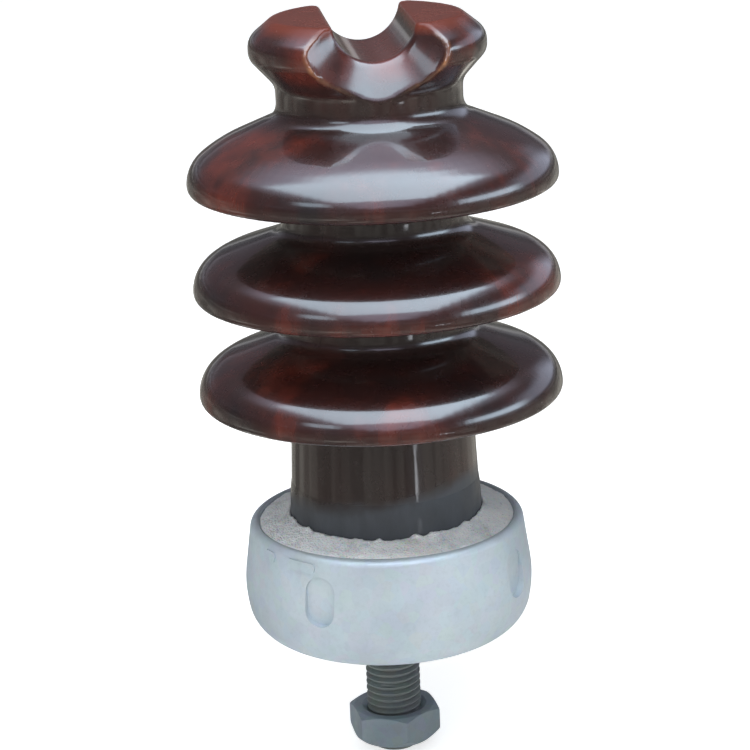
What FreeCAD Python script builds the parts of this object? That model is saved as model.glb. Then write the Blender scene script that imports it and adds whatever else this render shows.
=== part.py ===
import FreeCAD, Part
import math
import os

# A tie-top porcelain line-post insulator. Millimetres, +Z up. The origin is the centre of the
# cap's flat base face, where it stands on a crossarm. The conductor groove runs along Y.

# Porcelain: one fired piece of head, neck, three sheds and trunk.
SHED_R = 65.0
SHED_PITCH = 38.0
LOW_SHED_Z = 93.0
SHED_COUNT = 3
SHED_UNDERSIDE = 5.2
CORE_R = 32.5
TRUNK_FOOT_R = 34.5
NECK_Z = 201.0
HEAD_R = 41.2
TOP_Z = 223.9
PORCELAIN_FOOT_Z = 18.0

# The conductor groove over the top: a round-bottomed trough with flared mouths.
GROOVE_R = 14.2
GROOVE_FLOOR_Z = 211.2
GROOVE_WALL_LEAN = math.radians(10)
GROOVE_HALF_LENGTH = 26.5
MOUTH_R = 25.0
MOUTH_REACH = 6.5
MOUTH_SINK = 2.0
ARRIS_ROUNDING = 2.5
GROOVE_AXIS_Z = GROOVE_FLOOR_Z + GROOVE_R

# Base cap: a galvanised casting with four obround spanner pockets and two blank raised bars.
CAP_R = 52.4
CAP_RIM_R = 49.4
CAP_H = 42.3
CAP_FLOOR_Z = 16.0
CAVITY_R = 45.0
POCKET_WIDTH = 11.5
POCKET_HEIGHT = 18.0
POCKET_DEPTH = 2.6
POCKET_MID_Z = 26.3
POCKET_AZIMUTH = -34.0
POCKET_COUNT = 4
BAR_HEIGHT = 3.6
BAR_RAISE = 0.55
BAR_MID_Z = 38.0
BARS = [(-43.5, 12.5), (-62.0, 7.0)]

# Joint materials between the porcelain and the cap.
CUSHION_T = PORCELAIN_FOOT_Z - CAP_FLOOR_Z
GRIT_T = 0.9
COAT_T = 0.35
COAT_TOP_Z = 57.0
COAT_FOOT_Z = 43.0
CEMENT_CREST_Z = 45.4

# M20 x 2.5 stud and thin M20 nut, 30 mm across flats.
STUD_R = 10.0
PITCH = 2.5
THREAD_DEPTH = 0.6134 * PITCH
STUD_END_Z = -48.5
STUD_TOP_Z = 14.0
NUT_TOP_Z = -33.0
NUT_H = 12.0
NUT_FLATS = 30.0
NUT_BORE_R = STUD_R + 0.06
NUT_CORNER_AZIMUTH = 9.5

UP = FreeCAD.Vector(0, 0, 1)
ORIGIN = FreeCAD.Vector(0, 0, 0)


def at(x, y, z):
    return FreeCAD.Vector(x, y, z)


def toward(azimuth, radius, z):
    """The point at a radius and an azimuth in degrees, counted from the -Y side towards +X."""
    a = math.radians(azimuth)
    return at(radius * math.sin(a), -radius * math.cos(a), z)


def rounded_wire(corners):
    """A closed outline in the XZ plane from (radius, z, rounding) corners."""
    points = [at(r, 0, z) for r, z, _ in corners]
    edges = []
    entries = []
    exits = []
    arcs = []
    for i, point in enumerate(points):
        rounding = corners[i][2]
        back = points[i - 1].sub(point).normalize()
        ahead = points[(i + 1) % len(points)].sub(point).normalize()
        half = back.getAngle(ahead) / 2
        reach = rounding / math.tan(half)
        entries.append(point + back * reach)
        exits.append(point + ahead * reach)
        if rounding:
            inward = (back + ahead).normalize()
            nearest = point + inward * (rounding / math.sin(half) - rounding)
            arcs.append(Part.Arc(entries[i], nearest, exits[i]).toShape())
        else:
            arcs.append(None)
    for i in range(len(points)):
        following = (i + 1) % len(points)
        if arcs[i]:
            edges.append(arcs[i])
        if exits[i].distanceToPoint(entries[following]) > 1e-6:
            edges.append(Part.makeLine(exits[i], entries[following]))
    return Part.Wire(edges)


def turned(corners):
    """The solid an outline sweeps round the Z axis."""
    return Part.Face(rounded_wire(corners)).revolve(ORIGIN, UP, 360)


def ring(inner, outer, low, high):
    """A plain ring between two radii and two heights."""
    return Part.makeCylinder(outer, high - low, at(0, 0, low)).cut(
        Part.makeCylinder(inner, high - low, at(0, 0, low)))


def trunk_radius(z):
    """The trunk tapers from its foot in the cement to the core under the lowest shed."""
    taper = (TRUNK_FOOT_R - CORE_R) / (LOW_SHED_Z - SHED_UNDERSIDE - CAP_H)
    return TRUNK_FOOT_R - taper * max(0.0, z - CAP_H)


def shed(z, crown_r, crown_rise, crown_rounding, rim_rise, root_rise):
    """Corners of one shed, from its underside out to the rim and up its domed top to the core."""
    return [
        (CORE_R, z - SHED_UNDERSIDE, 7.0),
        (SHED_R, z - 4.6, 2.7),
        (SHED_R, z + rim_rise, 12.0),
        (crown_r, z + crown_rise, crown_rounding),
        (CORE_R, z + root_rise, 6.0),
    ]


def porcelain_blank():
    """The porcelain before the conductor groove is cut."""
    corners = [
        (0, PORCELAIN_FOOT_Z, 0),
        (TRUNK_FOOT_R, PORCELAIN_FOOT_Z, 2.5),
        (TRUNK_FOOT_R, CAP_H, 0),
    ]
    for i in range(SHED_COUNT):
        z = LOW_SHED_Z + i * SHED_PITCH
        if i < SHED_COUNT - 1:
            corners += shed(z, 57.5, 9.6, 19.0, 4.25, 18.0)
        else:
            corners += shed(z, 54.5, 12.0, 50.0, 4.4, 21.4)
    corners += [
        (CORE_R, NECK_Z, 6.5),
        (HEAD_R, NECK_Z + 9.6, 4.5),
        (HEAD_R, TOP_Z - 6.8, 6.5),
        (HEAD_R - 8.4, TOP_Z, 2.5),
        (0, TOP_Z, 0),
    ]
    return turned(corners)


def groove_trough():
    """The straight trough, its walls leaning out above the round bottom."""
    length = 2 * HEAD_R + 20
    lean = GROOVE_WALL_LEAN
    rise = 30.0
    x0 = GROOVE_R * math.cos(lean)
    z0 = GROOVE_AXIS_Z - GROOVE_R * math.sin(lean)
    x1 = x0 + rise * math.tan(lean)
    y = -length / 2
    arc = Part.Arc(at(-x0, y, z0), at(0, y, GROOVE_FLOOR_Z), at(x0, y, z0)).toShape()
    walls = Part.makePolygon([at(x0, y, z0), at(x1, y, z0 + rise), at(-x1, y, z0 + rise), at(-x0, y, z0)])
    return Part.Face(Part.Wire([arc] + walls.Edges)).extrude(at(0, length, 0))


def groove_mouth(side):
    """One flared end of the groove: an oblique cone that sinks as it widens, then a clear run out."""
    start = side * GROOVE_HALF_LENGTH
    end = side * (GROOVE_HALF_LENGTH + MOUTH_REACH)
    across = at(0, 1, 0)
    narrow = Part.Wire(Part.makeCircle(GROOVE_R, at(0, start, GROOVE_AXIS_Z), across))
    wide = Part.Wire(Part.makeCircle(MOUTH_R, at(0, end, GROOVE_AXIS_Z - MOUTH_SINK), across))
    flare = Part.makeLoft([narrow, wide], True, True)
    run_out = Part.makeCylinder(MOUTH_R, 20.0, at(0, end, GROOVE_AXIS_Z - MOUTH_SINK), at(0, side, 0))
    return flare.fuse(run_out)


def middle(edge):
    return edge.valueAt((edge.FirstParameter + edge.LastParameter) / 2)


def touches(shapes, point):
    return any(shape.distToShape(Part.Vertex(point))[0] < 0.02 for shape in shapes)


def porcelain_body():
    """The blank with its groove cut, and the arrises rounded where the trough meets its mouths."""
    blank = porcelain_blank()
    trough = groove_trough()
    mouths = [groove_mouth(-1), groove_mouth(1)]
    body = blank.cut(trough).cut(mouths)
    high = [edge for edge in body.Edges if middle(edge).z > NECK_Z - 10]
    in_trough = [edge for edge in high if touches(trough.Shells, middle(edge))]
    arrises = [edge for edge in in_trough if touches([m.Shells[0] for m in mouths], middle(edge))]
    return body.makeFillet(ARRIS_ROUNDING, arrises)


def obround(length, width, depth):
    """An upright obround tool, its back face in the XZ plane and its depth along -Y."""
    r = width / 2
    straight = length / 2 - r
    right = Part.makeLine(at(r, 0, -straight), at(r, 0, straight))
    top = Part.Arc(at(r, 0, straight), at(0, 0, straight + r), at(-r, 0, straight)).toShape()
    left = Part.makeLine(at(-r, 0, straight), at(-r, 0, -straight))
    bottom = Part.Arc(at(-r, 0, -straight), at(0, 0, -straight - r), at(r, 0, -straight)).toShape()
    return Part.Face(Part.Wire([right, top, left, bottom])).extrude(at(0, -depth, 0))


def cap_outline(grow):
    """The cap's outer profile from the axis at its base to the top of its rim, pushed out by grow."""
    return [
        (0, 0, 0),
        (49.8 + grow, 0, 13.0),
        (CAP_R + 0.3 + grow, 19.0, 40.0),
        (CAP_RIM_R + grow, CAP_H, 2.8),
    ]


def base_cap():
    cap = turned(cap_outline(0) + [
        (CAVITY_R + 1.3, CAP_H, 1.0),
        (CAVITY_R, CAP_H - 9.0, 0),
        (CAVITY_R, CAP_FLOOR_Z + 12.0, 0),
        (CAVITY_R + 1.5, CAP_FLOOR_Z + 10.0, 0),
        (CAVITY_R + 1.5, CAP_FLOOR_Z + 6.0, 0),
        (CAVITY_R, CAP_FLOOR_Z + 4.0, 0),
        (CAVITY_R, CAP_FLOOR_Z, 3.0),
        (0, CAP_FLOOR_Z, 0),
    ])
    cap = cap.cut(Part.makeCylinder(STUD_R, STUD_TOP_Z + 1.0, at(0, 0, -1.0)))
    for i in range(POCKET_COUNT):
        tool = obround(POCKET_HEIGHT, POCKET_WIDTH, 20.0)
        tool.translate(at(0, -(CAP_R - POCKET_DEPTH), POCKET_MID_Z))
        tool.rotate(ORIGIN, UP, POCKET_AZIMUTH + 360.0 / POCKET_COUNT * i)
        cap = cap.cut(tool)
    swollen = turned(cap_outline(BAR_RAISE) + [(0, CAP_H, 0)])
    for azimuth, length in BARS:
        bar = obround(length, BAR_HEIGHT, 20.0)
        bar.rotate(ORIGIN, at(0, 1, 0), 90)
        bar.translate(at(0, -(CAVITY_R + 1.5), BAR_MID_Z))
        bar.rotate(ORIGIN, UP, azimuth)
        cap = cap.fuse(bar.common(swollen))
    return cap


def grit_band():
    """Fired-on grit round the cemented end of the porcelain."""
    return ring(TRUNK_FOOT_R, TRUNK_FOOT_R + GRIT_T, PORCELAIN_FOOT_Z + 4.0, COAT_FOOT_Z - 2.0)


def bitumen_coat(porcelain):
    """The bitumen painted round the trunk, from inside the cement to above it."""
    foot = trunk_radius(COAT_FOOT_Z) + COAT_T
    top = trunk_radius(COAT_TOP_Z) + COAT_T
    return Part.makeCone(foot, top, COAT_TOP_Z - COAT_FOOT_Z, at(0, 0, COAT_FOOT_Z)).cut(porcelain)


def cushion_disc():
    return Part.makeCylinder(TRUNK_FOOT_R - 2.5, CUSHION_T, at(0, 0, CAP_FLOOR_Z))


def cement_grout(neighbours):
    """The cement that fills the cap round the porcelain and slopes up to it."""
    gross = turned([
        (CUSHION_T + 25.0, CAP_FLOOR_Z, 0),
        (CAVITY_R + 3.0, CAP_FLOOR_Z, 0),
        (CAVITY_R + 3.0, CAP_H - 0.5, 0),
        (CAVITY_R + 0.6, CAP_H - 0.4, 0),
        (TRUNK_FOOT_R + 5.5, CAP_H + 1.0, 12.0),
        (TRUNK_FOOT_R - 1.0, CEMENT_CREST_Z + 0.3, 0),
        (CUSHION_T + 25.0, CEMENT_CREST_Z, 0),
    ])
    return gross.cut(neighbours)


def thread_groove(radius, low, high):
    """The V groove of the M20 thread between two heights."""
    root = radius - THREAD_DEPTH
    outside = radius + 0.3
    narrow = PITCH / 16
    wide = narrow + (outside - root) * math.tan(math.radians(30))
    outline = Part.makePolygon([
        at(root, 0, low - narrow),
        at(outside, 0, low - wide),
        at(outside, 0, low + wide),
        at(root, 0, low + narrow),
        at(root, 0, low - narrow),
    ])
    helix = Part.makeHelix(PITCH, high - low, radius)
    helix.translate(at(0, 0, low))
    groove = Part.Wire(helix).makePipeShell([outline], True, True)
    return groove.reversed() if groove.Volume < 0 else groove


def mounting_stud():
    """The stud, threaded from the cap to its chamfered end, plain where the cap hides it."""
    chamfer = 2.0
    stud = turned([
        (0, STUD_END_Z, 0),
        (STUD_R - chamfer, STUD_END_Z, 0),
        (STUD_R, STUD_END_Z + chamfer, 0),
        (STUD_R, STUD_TOP_Z, 0),
        (0, STUD_TOP_Z, 0),
    ])
    return stud.cut(thread_groove(STUD_R, STUD_END_Z - PITCH, -0.6))


def stud_nut():
    """A thin hexagon nut, its bore countersunk at both ends, its corners rounded off below."""
    corner_r = NUT_FLATS / math.sqrt(3)
    low = NUT_TOP_Z - NUT_H
    corners = [toward(NUT_CORNER_AZIMUTH + 60 * i, corner_r, low) for i in range(7)]
    hexagon = Part.Face(Part.makePolygon(corners)).extrude(at(0, 0, NUT_H))
    barrel = turned([
        (0, low, 0),
        (NUT_FLATS / 2 * 0.93, low, 1.5),
        (corner_r + 0.2, low + 3.4, 2.0),
        (corner_r + 0.2, NUT_TOP_Z - 1.4, 1.2),
        (NUT_FLATS / 2 * 0.98, NUT_TOP_Z, 1.0),
        (0, NUT_TOP_Z, 0),
    ])
    mouth_r = NUT_BORE_R + 1.9
    bore = turned([
        (0, low, 0),
        (mouth_r, low, 0),
        (NUT_BORE_R, low + 1.1, 0),
        (NUT_BORE_R, NUT_TOP_Z - 1.1, 0),
        (mouth_r, NUT_TOP_Z, 0),
        (0, NUT_TOP_Z, 0),
    ])
    return hexagon.common(barrel).cut(bore)


def build():
    porcelain = porcelain_body()
    cap = base_cap()
    grit = grit_band()
    coat = bitumen_coat(porcelain)
    cushion = cushion_disc()
    return {
        "porcelain_body": porcelain,
        "base_cap": cap,
        "grit_band": grit,
        "bitumen_coat": coat,
        "cushion_disc": cushion,
        "cement_grout": cement_grout([porcelain, cap, grit, coat, cushion]),
        "mounting_stud": mounting_stud(),
        "stud_nut": stud_nut(),
    }


os.makedirs("parts", exist_ok=True)
for name, shape in build().items():
    box = shape.BoundBox
    print(name, "valid", shape.isValid(), "solids", len(shape.Solids), "mm3", round(shape.Volume),
          "z", round(box.ZMin, 2), round(box.ZMax, 2), "faces", len(shape.Faces))
    shape.exportStep("parts/" + name + ".step")
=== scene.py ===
import math

import bpy
import numpy as np
from mathutils import Matrix, Vector, noise


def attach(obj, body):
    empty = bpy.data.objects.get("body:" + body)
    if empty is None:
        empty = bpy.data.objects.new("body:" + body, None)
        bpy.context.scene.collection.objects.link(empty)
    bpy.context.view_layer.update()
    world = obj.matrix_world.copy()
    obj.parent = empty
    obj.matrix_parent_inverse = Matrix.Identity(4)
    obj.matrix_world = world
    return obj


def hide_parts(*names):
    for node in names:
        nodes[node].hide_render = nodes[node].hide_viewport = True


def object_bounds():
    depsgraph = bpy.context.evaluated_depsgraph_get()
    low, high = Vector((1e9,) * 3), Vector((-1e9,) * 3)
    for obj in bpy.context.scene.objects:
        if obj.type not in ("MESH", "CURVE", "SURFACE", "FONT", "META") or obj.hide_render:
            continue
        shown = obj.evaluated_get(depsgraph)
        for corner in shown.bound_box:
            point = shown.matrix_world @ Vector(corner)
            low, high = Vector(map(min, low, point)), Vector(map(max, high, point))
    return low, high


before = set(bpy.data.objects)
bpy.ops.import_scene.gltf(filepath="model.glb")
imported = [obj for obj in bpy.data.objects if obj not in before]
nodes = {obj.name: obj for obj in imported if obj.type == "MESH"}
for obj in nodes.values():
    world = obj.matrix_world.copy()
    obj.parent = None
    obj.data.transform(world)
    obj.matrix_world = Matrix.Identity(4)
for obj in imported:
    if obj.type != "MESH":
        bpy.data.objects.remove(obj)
cad_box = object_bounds()
MM = 0.001

# Heights in the part's frame.
HEAD_TOP = cad_box[1][2]
HEAD_LOW = HEAD_TOP - 20.9 * MM
GROOVE_LOW = HEAD_TOP - 28.9 * MM
CEMENT_SHOWS = 41.5 * MM
PAINT_TOP = 60 * MM

# Radii in the part's frame.
TRUNK_R = 34.9 * MM
NECK_R = 34 * MM
SHED_ROOT_R = 41 * MM
MOUTH_FROM_R = 31 * MM

# Colours that more than one material uses.
GLAZE_DARK = (0.014, 0.0100, 0.0105)
GLAZE_MID = (0.033, 0.0110, 0.0095)
GLAZE_THIN = (0.130, 0.0240, 0.0145)
GLAZE_PAD = (0.165, 0.042, 0.028)
# Painted shade: the near-black glaze colour of the necks between the sheds, also used on the coat's unbrushed top.
GLAZE_SHADE = (0.021, 0.0130, 0.0120)
BITUMEN_DARK = (0.032, 0.036, 0.043)
BITUMEN_MID = (0.060, 0.067, 0.078)

# How far a vertex stands out from its neighbours where the glaze begins to thin, and where it is thinnest.
THIN_GLAZE_BEND = (0.030 * MM, 0.060 * MM)


# ---------------------------------------------------------------- material helpers

class Nodes:
    """Builds one material's node tree with short calls."""

    def __init__(self, name):
        self.material = bpy.data.materials.new(name)
        self.material.use_nodes = True
        self.tree = self.material.node_tree
        self.shader = self.tree.nodes["Principled BSDF"]
        self.coords = self.tree.nodes.new("ShaderNodeTexCoord").outputs["Object"]

    def link(self, source, target):
        self.tree.links.new(source, target)

    def set(self, **values):
        for key, value in values.items():
            self.shader.inputs[key.replace("_", " ")].default_value = value

    def into(self, socket, source):
        self.link(source, self.shader.inputs[socket])

    def stretched(self, scale):
        node = self.tree.nodes.new("ShaderNodeMapping")
        node.inputs["Scale"].default_value = scale
        self.link(self.coords, node.inputs["Vector"])
        return node.outputs["Vector"]

    def noise(self, scale, detail=4.0, roughness=0.55, vector=None):
        node = self.tree.nodes.new("ShaderNodeTexNoise")
        node.inputs["Scale"].default_value = scale
        node.inputs["Detail"].default_value = detail
        node.inputs["Roughness"].default_value = roughness
        self.link(vector or self.coords, node.inputs["Vector"])
        return node.outputs["Fac"]

    def cells(self, scale, output="Distance"):
        node = self.tree.nodes.new("ShaderNodeTexVoronoi")
        node.inputs["Scale"].default_value = scale
        self.link(self.coords, node.inputs["Vector"])
        return node.outputs[output]

    def ramp(self, source, *stops):
        """Colour or grey stops (position, value) along a source from 0 to 1."""
        node = self.tree.nodes.new("ShaderNodeValToRGB")
        elements = node.color_ramp.elements
        while len(elements) < len(stops):
            elements.new(0.5)
        for element, (position, value) in zip(elements, stops):
            element.position = position
            element.color = (*value, 1) if isinstance(value, tuple) else (value, value, value, 1)
        self.link(source, node.inputs["Fac"])
        return node.outputs["Color"]

    def mix(self, amount, a, b, blend="MIX"):
        node = self.tree.nodes.new("ShaderNodeMix")
        node.data_type = "RGBA"
        node.blend_type = blend
        for socket, value in ((node.inputs[0], amount), (node.inputs[6], a), (node.inputs[7], b)):
            if isinstance(value, bpy.types.NodeSocket):
                self.link(value, socket)
            elif isinstance(value, tuple):
                socket.default_value = (*value, 1)
            else:
                socket.default_value = value
        return node.outputs[2]

    def math(self, operation, *values):
        node = self.tree.nodes.new("ShaderNodeMath")
        node.operation = operation
        for socket, value in zip(node.inputs, values):
            if isinstance(value, bpy.types.NodeSocket):
                self.link(value, socket)
            else:
                socket.default_value = value
        return node.outputs[0]

    def attribute(self, name):
        """A number stored on the mesh's vertices."""
        node = self.tree.nodes.new("ShaderNodeAttribute")
        node.attribute_name = name
        return node.outputs["Fac"]

    def paint_line(self):
        """1 where the bitumen was brushed on, 0 well above it, with a slanting ragged edge."""
        ragged = self.math("MULTIPLY", self.noise(70, 4, 0.6), 9 * MM)
        slant = self.math("MULTIPLY", self.along("X"), -0.14)
        height = self.math("ADD", self.math("ADD", self.along("Z"), slant), ragged)
        return self.inverse(self.between(height, PAINT_TOP - 1 * MM, PAINT_TOP + 6 * MM))

    def inverse(self, source):
        return self.math("SUBTRACT", 1.0, source)

    def along(self, axis):
        """The place along one axis of the part's frame, in metres."""
        split = self.tree.nodes.new("ShaderNodeSeparateXYZ")
        self.link(self.coords, split.inputs[0])
        return split.outputs[axis]

    def inside(self, axis, half):
        """1 about the middle of an axis, fading to 0 at half on both sides."""
        away = self.math("ABSOLUTE", self.along(axis))
        return self.inverse(self.between(away, 0.6 * half, half))

    def between(self, source, low, high):
        """0 below low, 1 above high, smooth between them."""
        node = self.tree.nodes.new("ShaderNodeMapRange")
        node.interpolation_type = "SMOOTHSTEP"
        node.inputs["From Min"].default_value = low
        node.inputs["From Max"].default_value = high
        self.link(source, node.inputs["Value"])
        return node.outputs["Result"]

    def shaded_necks(self):
        """1 in the necks between the sheds, where shade is painted into the glaze, 0 on the sheds and the head."""
        x, y = self.along("X"), self.along("Y")
        square = self.math("ADD", self.math("MULTIPLY", x, x), self.math("MULTIPLY", y, y))
        narrow = self.inverse(self.between(self.math("SQRT", square), NECK_R, SHED_ROOT_R))
        under_head = self.inverse(self.between(self.along("Z"), HEAD_LOW, HEAD_LOW + 6 * MM))
        return self.math("MULTIPLY", narrow, under_head)

    def bump(self, source, depth, strength=1.0, after=None):
        node = self.tree.nodes.new("ShaderNodeBump")
        node.inputs["Distance"].default_value = depth
        node.inputs["Strength"].default_value = strength
        self.link(source, node.inputs["Height"])
        if after:
            self.link(after, node.inputs["Normal"])
        return node.outputs["Normal"]


# ---------------------------------------------------------------- materials

def glazed_brown():
    """Chocolate glaze: redder where thin, matt on the pads, painted shade in the necks, tan on the arrises."""
    m = Nodes("brown_glaze")
    broad = m.noise(17, 4, 0.55)
    runs = m.noise(55, 4, 0.6, m.stretched((1.0, 1.0, 0.12)))
    depth = m.ramp(m.mix(0.35, broad, runs), (0.38, GLAZE_DARK), (0.52, GLAZE_MID), (0.64, GLAZE_THIN))
    pad = m.between(m.along("Z"), HEAD_TOP - 5 * MM, HEAD_TOP - 1 * MM)
    depth = m.mix(m.math("MULTIPLY", pad, 0.9), depth, GLAZE_PAD)
    bed = m.math("MULTIPLY", m.inside("X", 12 * MM), m.inside("Y", 30 * MM))
    depth = m.mix(m.math("MULTIPLY", bed, 0.7), depth, GLAZE_PAD)
    # Painted shade: the necks between the sheds are darkened towards a near-black glaze colour.
    depth = m.mix(m.math("MULTIPLY", m.shaded_necks(), 0.78), depth, GLAZE_SHADE)
    specks = m.ramp(m.cells(800), (0.0, 1.0), (0.11, 0.0))
    depth = m.mix(m.math("MULTIPLY", specks, 0.4), depth, (0.010, 0.006, 0.005))
    worn = m.attribute("thin_glaze")
    depth = m.mix(worn, depth, (0.42, 0.19, 0.085))
    painted = m.paint_line()
    m.into("Base Color", m.mix(painted, depth, BITUMEN_MID))
    gloss = m.ramp(m.noise(140, 3), (0.35, 0.22), (0.7, 0.30))
    m.into("Roughness", m.mix(painted, gloss, (0.38, 0.38, 0.38)))
    m.set(IOR=1.5, Coat_Roughness=0.06, Coat_IOR=1.5)
    matt = m.math("MAXIMUM", pad, painted)
    m.into("Coat Weight", m.math("MULTIPLY_ADD", matt, -0.70, 0.80))
    m.into("Specular IOR Level", m.math("MULTIPLY_ADD", pad, -0.30, 0.50))
    ripple = m.bump(m.noise(30, 2, 0.4), 0.22 * MM, 0.35)
    m.into("Normal", m.bump(m.noise(420, 2, 0.5), 0.02 * MM, 0.25, ripple))
    return m.material


def galvanised(name, dark, light, rough, pit_depth, metallic):
    """Zinc over a casting or a bar: soft cloudy patches, dull spots and fine pits."""
    m = Nodes(name)
    cloud = m.ramp(m.noise(26, 3, 0.5), (0.32, dark), (0.68, light))
    crystal = m.cells(240, "Color")
    mottled = m.mix(0.07, cloud, crystal, "SOFT_LIGHT")
    dust = m.ramp(m.noise(620, 4, 0.7), (0.48, 0.0), (0.78, 1.0))
    m.into("Base Color", m.mix(m.math("MULTIPLY", dust, 0.22), mottled, tuple(0.6 * c for c in dark)))
    m.into("Roughness", m.ramp(m.noise(160, 5, 0.6), (0.3, rough - 0.07), (0.7, rough + 0.09)))
    m.set(Metallic=metallic, IOR=1.5)
    waves = m.bump(m.noise(48, 3, 0.5), 0.0007, 0.3)
    m.into("Normal", m.bump(m.noise(520, 5, 0.65), pit_depth, 0.5, waves))
    return m.material


def cement():
    """Sandy set cement: pale grey paste, brownish stains, dark and light grains."""
    m = Nodes("sandy_cement")
    paste = m.ramp(m.noise(85, 6, 0.65), (0.30, (0.60, 0.63, 0.65)), (0.50, (0.83, 0.87, 0.90)),
                   (0.70, (0.93, 0.94, 0.95)))
    stains = m.ramp(m.noise(38, 4, 0.6), (0.50, 0.0), (0.68, 1.0))
    stained = m.mix(m.math("MULTIPLY", stains, 0.30), paste, (0.60, 0.53, 0.47))
    grainy = m.mix(0.40, stained, m.cells(1500, "Color"), "SOFT_LIGHT")
    dark = m.ramp(m.cells(520), (0.0, 1.0), (0.20, 0.0))
    m.into("Base Color", m.mix(m.math("MULTIPLY", dark, 0.55), grainy, (0.10, 0.095, 0.09)))
    m.set(Roughness=0.93, IOR=1.45)
    lumps = m.bump(m.noise(260, 6, 0.7), 0.0009, 0.7)
    m.into("Normal", m.bump(m.cells(1300), 0.0004, 0.7, lumps))
    return m.material


def bitumen():
    """A dark brushed coat with a dull blue-grey sheen, thinning out towards its upper edge into the necks'
    painted-shade glaze colour.
    """
    m = Nodes("bitumen_paint")
    coat = m.ramp(m.noise(90, 5, 0.6, m.stretched((1, 1, 0.3))), (0.3, BITUMEN_DARK), (0.7, BITUMEN_MID))
    painted = m.paint_line()
    # Painted shade: above the brushed line the coat shows the near-black glaze colour painted into the necks.
    m.into("Base Color", m.mix(painted, GLAZE_SHADE, coat))
    m.into("Roughness", m.mix(painted, (0.25, 0.25, 0.25), m.ramp(m.noise(200, 4), (0.3, 0.34), (0.7, 0.50))))
    m.into("Coat Weight", m.math("MULTIPLY_ADD", painted, -0.70, 0.80))
    m.set(Coat_Roughness=0.06)
    m.into("Normal", m.bump(m.noise(330, 4, 0.6), 0.0003, 0.35))
    return m.material


def plain_rough(name, dark, light, scale):
    """A matt grainy stuff for the hidden parts of the joint."""
    m = Nodes(name)
    m.into("Base Color", m.ramp(m.noise(scale, 5, 0.7), (0.3, dark), (0.7, light)))
    m.set(Roughness=0.95)
    m.into("Normal", m.bump(m.cells(scale * 2), 0.0004, 0.7))
    return m.material


def finish_node(name, material):
    mesh = nodes[name].data
    mesh.materials.clear()
    mesh.materials.append(material)


# ---------------------------------------------------------------- pieces

def smooth(mesh):
    mesh.polygons.foreach_set("use_smooth", [True] * len(mesh.polygons))


def vertex_places(mesh):
    flat = np.empty(3 * len(mesh.vertices))
    mesh.vertices.foreach_get("co", flat)
    return flat.reshape(-1, 3)


def remeshed(node_name, new_name, voxel, relax_steps):
    """A finer even copy of a CAD node's mesh, its arrises relaxed."""
    piece = bpy.data.objects.new(new_name, nodes[node_name].data.copy())
    bpy.context.scene.collection.objects.link(piece)
    remesh = piece.modifiers.new("remesh", "REMESH")
    remesh.mode = "VOXEL"
    remesh.voxel_size = voxel * 1
    relax = piece.modifiers.new("relax", "SMOOTH")
    relax.factor = 0.5
    relax.iterations = relax_steps
    graph = bpy.context.evaluated_depsgraph_get()
    done = bpy.data.meshes.new_from_object(piece.evaluated_get(graph))
    piece.modifiers.clear()
    piece.data = done
    done.name = new_name
    smooth(done)
    return piece


def stand_in_for(piece, node_name, material):
    piece.data.materials.clear()
    piece.data.materials.append(material)
    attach(piece, "insulator")
    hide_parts(node_name)


def neighbour_mean(values, pairs, count):
    """Each vertex's mean of a value over the vertices its edges reach."""
    total = np.zeros(len(values))
    total += np.bincount(pairs[:, 0], values[pairs[:, 1]], len(values))
    total += np.bincount(pairs[:, 1], values[pairs[:, 0]], len(values))
    return total / count


def mark_thin_glaze(mesh):
    """Store how sharply the groove's mouths stand out, where the glaze drew thin in the kiln."""
    places = vertex_places(mesh)
    flat = np.empty(3 * len(mesh.vertices))
    mesh.vertices.foreach_get("normal", flat)
    normals = flat.reshape(-1, 3)
    ends = np.empty(2 * len(mesh.edges), dtype=np.int32)
    mesh.edges.foreach_get("vertices", ends)
    pairs = ends.reshape(-1, 2)
    count = np.maximum(np.bincount(pairs.ravel(), minlength=len(places)), 1)
    middle = np.stack([neighbour_mean(places[:, axis], pairs, count) for axis in range(3)], axis=1)
    sharp = np.einsum("ij,ij->i", places - middle, normals)
    for _ in range(3):
        sharp = neighbour_mean(sharp, pairs, count)
    radius = np.hypot(places[:, 0], places[:, 1])
    at_mouth = (places[:, 2] > GROOVE_LOW) & (places[:, 2] < HEAD_TOP - 3 * MM)
    at_mouth &= (radius > MOUTH_FROM_R) & (np.abs(places[:, 0]) < 30 * MM)
    low, high = THIN_GLAZE_BEND
    thin = np.clip((sharp - low) / (high - low), 0, 1) * at_mouth
    for _ in range(2):
        thin = neighbour_mean(thin, pairs, count)
    layer = mesh.attributes.new("thin_glaze", "FLOAT", "POINT")
    layer.data.foreach_set("value", thin)


def softened_porcelain(material):
    """The porcelain remeshed finely and relaxed, so that its arrises round off as glaze does."""
    piece = remeshed("porcelain_body", "glazed_porcelain", 0.7 * MM, 6)
    mark_thin_glaze(piece.data)
    stand_in_for(piece, "porcelain_body", material)


def lumpy_cement(material):
    """The cement with a trowelled, lumpy top that clings to the porcelain here and there."""
    piece = remeshed("cement_grout", "trowelled_cement", 0.8 * MM, 2)
    mesh = piece.data
    places = vertex_places(mesh)
    for place in places:
        if place[2] < CEMENT_SHOWS:
            continue
        spot = Vector(place)
        coarse = noise.noise(spot * 130)
        fine = noise.noise(spot * 520)
        place[2] += (0.55 * coarse + 0.28 * fine) * MM
        radius = math.hypot(place[0], place[1])
        cling = max(0.0, 1 - (radius - TRUNK_R) / (3 * MM)) if radius > TRUNK_R else 1.0
        place[2] += cling * max(0.0, noise.noise(spot * 240 + Vector((7, 3, 1)))) * 2.2 * MM
    mesh.vertices.foreach_set("co", places.ravel())
    mesh.update()
    stand_in_for(piece, "cement_grout", material)


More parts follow.
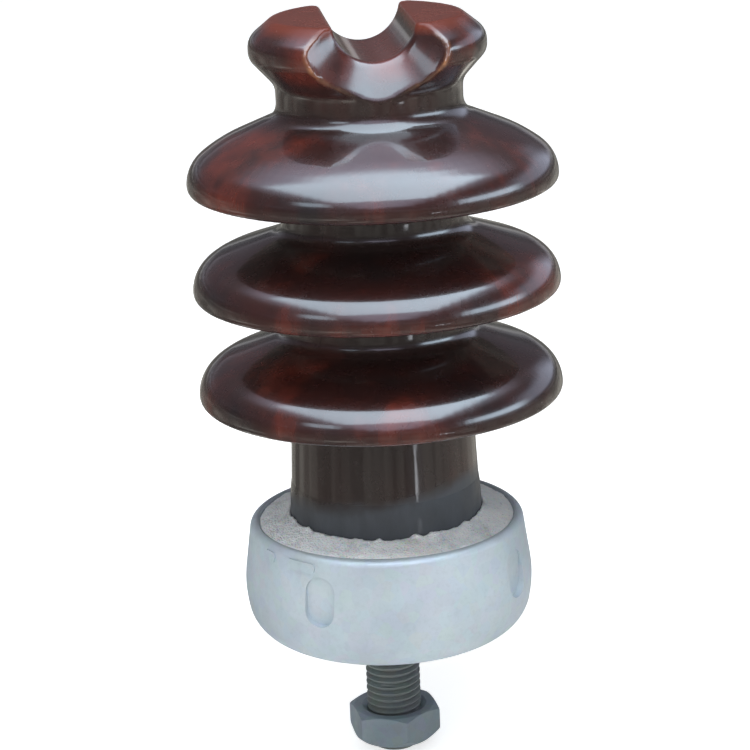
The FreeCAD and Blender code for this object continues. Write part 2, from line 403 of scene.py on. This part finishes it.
def feathered_coat(material):
    """The brushed coat with its upper edge run out to nothing, so that no step shows on the porcelain."""
    mesh = nodes["bitumen_coat"].data.copy()
    places = vertex_places(mesh)
    radius = np.hypot(places[:, 0], places[:, 1])
    top = places[:, 2] > places[:, 2].max() - 0.1 * MM
    inner = radius[top].min()
    outer = top & (radius > inner + 0.1 * MM)
    places[outer, :2] *= ((inner + 0.02 * MM) / radius[outer])[:, None]
    mesh.vertices.foreach_set("co", places.ravel())
    mesh.update()
    piece = bpy.data.objects.new("brushed_bitumen", mesh)
    bpy.context.scene.collection.objects.link(piece)
    stand_in_for(piece, "bitumen_coat", material)


# ---------------------------------------------------------------- stage, light, camera

def floor():
    low = cad_box[0][2]
    bpy.ops.mesh.primitive_plane_add(size=12, location=(0, 0, low - 0.2 * MM))
    plane = bpy.context.object
    plane.name = "floor"
    m = Nodes("pale_floor")
    m.set(Base_Color=(0.9, 0.9, 0.9, 1), Roughness=1.0, Emission_Color=(1, 1, 1, 1), Emission_Strength=0.62)
    plane.data.materials.append(m.material)
    plane.visible_glossy = False


def softbox(name, place, target, width, height, power, colour):
    """A soft light for shading only; the studio's panels make the highlights."""
    light = bpy.data.lights.new(name, "AREA")
    light.shape = "RECTANGLE"
    light.size = width
    light.size_y = height
    light.energy = power
    light.color = colour
    lamp = bpy.data.objects.new(name, light)
    bpy.context.scene.collection.objects.link(lamp)
    aim = (Vector(target) - Vector(place)).to_track_quat("-Z", "Y")
    lamp.matrix_world = Matrix.Translation(place) @ aim.to_matrix().to_4x4()
    lamp.visible_glossy = False


class Studio:
    """The world's node tree: what the camera, the reflections and the shading see of the room."""

    def __init__(self):
        world = bpy.data.worlds.new("studio")
        bpy.context.scene.world = world
        world.use_nodes = True
        self.tree = world.node_tree
        coords = self.tree.nodes.new("ShaderNodeTexCoord")
        split = self.tree.nodes.new("ShaderNodeSeparateXYZ")
        self.tree.links.new(coords.outputs["Generated"], split.inputs[0])
        self.direction = coords.outputs["Generated"]
        self.x, self.y, self.z = split.outputs
        self.axes = {"x": self.x, "y": self.y, "z": self.z}

    def put(self, source, socket):
        if isinstance(source, bpy.types.NodeSocket):
            self.tree.links.new(source, socket)
        else:
            socket.default_value = source

    def math(self, operation, *values):
        node = self.tree.nodes.new("ShaderNodeMath")
        node.operation = operation
        for socket, value in zip(node.inputs, values):
            self.put(value, socket)
        return node.outputs[0]

    def step(self, source, low, high):
        """0 at low and 1 at high, or the other way round when low is above high."""
        node = self.tree.nodes.new("ShaderNodeMapRange")
        node.interpolation_type = "SMOOTHSTEP"
        falling = low > high
        self.put(source, node.inputs["Value"])
        node.inputs["From Min"].default_value = min(low, high)
        node.inputs["From Max"].default_value = max(low, high)
        if falling:
            node.inputs["To Min"].default_value = 1
            node.inputs["To Max"].default_value = 0
        return node.outputs["Result"]

    def ramp(self, source, stops):
        node = self.tree.nodes.new("ShaderNodeValToRGB")
        elements = node.color_ramp.elements
        while len(elements) < len(stops):
            elements.new(0.5)
        for element, (position, colour) in zip(elements, stops):
            element.position = position
            element.color = (*colour, 1)
        self.put(source, node.inputs["Fac"])
        return node.outputs["Color"]

    def streaks(self, scale, stretch):
        """Noise over the directions of the room, drawn out along the axes with a small stretch."""
        mapping = self.tree.nodes.new("ShaderNodeMapping")
        mapping.inputs["Scale"].default_value = stretch
        self.put(self.direction, mapping.inputs["Vector"])
        node = self.tree.nodes.new("ShaderNodeTexNoise")
        node.inputs["Scale"].default_value = scale
        node.inputs["Detail"].default_value = 3.0
        self.put(mapping.outputs["Vector"], node.inputs["Vector"])
        return node.outputs["Fac"]

    def background(self, colour, strength):
        node = self.tree.nodes.new("ShaderNodeBackground")
        self.put(colour, node.inputs["Color"])
        self.put(strength, node.inputs["Strength"])
        return node.outputs["Background"]

    def window(self, edges):
        """1 inside a soft-edged window of the room; each edge is an axis, where it is 0 and where it is 1."""
        shape = 1.0
        for axis, outside, within in edges:
            shape = self.math("MULTIPLY", shape, self.step(self.axes[axis], outside, within))
        return shape

    def choose(self, amount, first, second):
        node = self.tree.nodes.new("ShaderNodeMixShader")
        self.put(amount, node.inputs["Fac"])
        self.put(first, node.inputs[1])
        self.put(second, node.inputs[2])
        return node.outputs["Shader"]


def surroundings():
    """White to the camera, an even dome for shading, and in reflections a room with panel, haze and windows."""
    studio = Studio()
    lift = studio.math("MULTIPLY_ADD", studio.z, 0.5, 0.5)
    room = studio.ramp(lift, ROOM_STOPS)
    upright = studio.step(studio.streaks(5.5, (1.0, 1.0, 0.12)), 0.38, 0.66)
    uneven = studio.math("MULTIPLY_ADD", upright, 1.1, 0.45)
    below = studio.step(studio.z, -0.08, -0.18)
    level = studio.math("ADD", studio.math("MULTIPLY", below, uneven), studio.math("SUBTRACT", 1.0, below))
    lying = studio.step(studio.streaks(2.2, (0.6, 0.6, 7.0)), 0.48, 0.66)
    at_rims = studio.math("MULTIPLY", studio.step(studio.z, -0.12, -0.04), studio.step(studio.z, 0.26, 0.16))
    at_rims = studio.math("ADD", at_rims, studio.step(studio.z, -0.32, -0.42))
    bands = studio.math("MULTIPLY_ADD", lying, 2.6, -0.5)
    level = studio.math("MULTIPLY_ADD", studio.math("MULTIPLY", at_rims, bands), level, level)
    room_light = studio.background(room, level)

    overhead = studio.math("MAXIMUM", studio.z, 0.08)
    aside = studio.math("ABSOLUTE", studio.math("DIVIDE", studio.x, overhead))
    forward = studio.math("MULTIPLY", studio.math("DIVIDE", studio.y, overhead), -1.0)
    high = studio.step(studio.z, 0.2, 0.35)
    haze = studio.math("MULTIPLY", studio.step(aside, 1.3, 0.4), high)
    haze = studio.math("MULTIPLY", haze, studio.step(forward, -1.1, -0.2))
    hazy = studio.choose(haze, room_light, studio.background((0.80, 0.78, 1.0, 1), HAZE_STRENGTH))

    panel = studio.math("MULTIPLY", studio.step(aside, PANEL_ASIDE + 0.3, PANEL_ASIDE),
                        studio.step(forward, PANEL_FRONT + 0.15, PANEL_FRONT))
    panel = studio.math("MULTIPLY", panel, studio.step(forward, -PANEL_BACK - 0.2, -PANEL_BACK))
    panel = studio.math("MULTIPLY", panel, high)
    lean = studio.math("MULTIPLY_ADD", studio.x, 0.25 * PANEL_STRENGTH, PANEL_STRENGTH)
    reflected = studio.choose(panel, hazy, studio.background((0.71, 0.86, 1.0, 1), lean))

    for edges, tint, strength in WINDOWS:
        reflected = studio.choose(studio.window(edges), reflected, studio.background((*tint, 1), strength))

    path = studio.tree.nodes.new("ShaderNodeLightPath")
    dome = studio.background((0.95, 0.98, 1.0, 1), DOME_STRENGTH)
    lit = studio.choose(path.outputs["Is Glossy Ray"], dome, reflected)
    seen = studio.choose(path.outputs["Is Camera Ray"], lit, studio.background((1, 1, 1, 1), 1.0))
    studio.put(seen, studio.tree.nodes["World Output"].inputs["Surface"])


ROOM_STOPS = [
    (0.0, (0.34, 0.335, 0.31)),
    (0.40, (0.32, 0.31, 0.28)),
    (0.49, (0.17, 0.17, 0.16)),
    (0.56, (0.13, 0.13, 0.15)),
    (0.70, (0.15, 0.12, 0.14)),
    (0.80, (0.21, 0.17, 0.18)),
    (1.0, (0.50, 0.44, 0.50)),
]
HAZE_STRENGTH = 2.2
PANEL_ASIDE = 0.62
PANEL_FRONT = 1.15
PANEL_BACK = 0.20
PANEL_STRENGTH = 7.4
DOME_STRENGTH = 0.37

# The room's weaker lights, each with its edges, tint and strength: right behind, right in front, left, and a slit.
WINDOWS = [
    ((("x", 0.42, 0.62), ("z", 0.05, 0.15), ("z", 0.52, 0.34), ("y", -0.1, 0.2)), (0.74, 0.80, 1.0), 1.2),
    ((("x", 0.66, 0.80), ("z", 0.03, 0.11), ("z", 0.31, 0.22), ("y", 0.2, -0.1)), (0.70, 0.85, 1.0), 7.0),
    ((("x", -0.46, -0.56), ("x", -0.80, -0.70), ("z", 0.32, 0.38), ("z", 0.54, 0.48), ("y", -0.40, -0.52)),
     (0.72, 0.86, 1.0), 4.5),
    ((("x", 0.48, 0.52), ("x", 0.59, 0.55), ("z", -0.31, -0.28), ("z", -0.22, -0.25), ("y", -0.2, -0.4)),
     (0.90, 0.94, 1.0), 7.0),
]

CAMERA_AZIMUTH = math.radians(-5.5)
CAMERA_ELEVATION = math.radians(17.0)
CAMERA_DISTANCE = 0.885
CAMERA_ROLL = math.radians(-2.35)
CAMERA_LENS = 118.6
CAMERA_SHIFT = (-0.0084, 0.0152)
AIM_Z = 0.0903


def camera():
    data = bpy.data.cameras.new("camera")
    data.lens = CAMERA_LENS
    data.shift_x, data.shift_y = CAMERA_SHIFT
    eye = bpy.data.objects.new("camera", data)
    bpy.context.scene.collection.objects.link(eye)
    reach = CAMERA_DISTANCE * math.cos(CAMERA_ELEVATION)
    place = Vector((reach * math.sin(CAMERA_AZIMUTH), -reach * math.cos(CAMERA_AZIMUTH),
                    AIM_Z + CAMERA_DISTANCE * math.sin(CAMERA_ELEVATION)))
    look = (Vector((0, 0, AIM_Z)) - place).to_track_quat("-Z", "Y").to_matrix().to_4x4()
    eye.matrix_world = Matrix.Translation(place) @ look @ Matrix.Rotation(CAMERA_ROLL, 4, "Z")
    bpy.context.scene.camera = eye


# ---------------------------------------------------------------- build

# Each zinc coat: its name, dark and light colours, roughness, depth of its pits and how metallic it is.
ZINC_LOOKS = {
    "base_cap": ("galvanised_cap", (0.365, 0.425, 0.468), (0.485, 0.553, 0.60), 0.46, 0.08 * MM, 0.18),
    "mounting_stud": ("galvanised_stud", (0.11, 0.125, 0.125), (0.19, 0.21, 0.205), 0.55, 0.12 * MM, 0.3),
    "stud_nut": ("galvanised_nut", (0.15, 0.185, 0.21), (0.26, 0.30, 0.34), 0.50, 0.15 * MM, 0.3),
}

glaze = glazed_brown()
mortar = cement()
softened_porcelain(glaze)
lumpy_cement(mortar)
finish_node("porcelain_body", glaze)
finish_node("cement_grout", mortar)
for node_name, look in ZINC_LOOKS.items():
    finish_node(node_name, galvanised(*look))
coating = bitumen()
feathered_coat(coating)
finish_node("bitumen_coat", coating)
finish_node("grit_band", plain_rough("fired_grit", (0.30, 0.25, 0.19), (0.55, 0.48, 0.40), 1200))
finish_node("cushion_disc", plain_rough("bitumen_felt", (0.02, 0.018, 0.015), (0.05, 0.045, 0.04), 900))

floor()
surroundings()
softbox("overhead", (-0.10, -0.35, 1.1), (0, 0, 0.12), 0.9, 0.7, 9.8, (0.95, 0.98, 1.0))
softbox("front_fill", (-0.42, -1.22, 0.6), (0, 0, 0.08), 0.9, 0.7, 5.4, (1.0, 0.99, 0.98))
bpy.context.scene.view_settings.view_transform = "Standard"
camera()
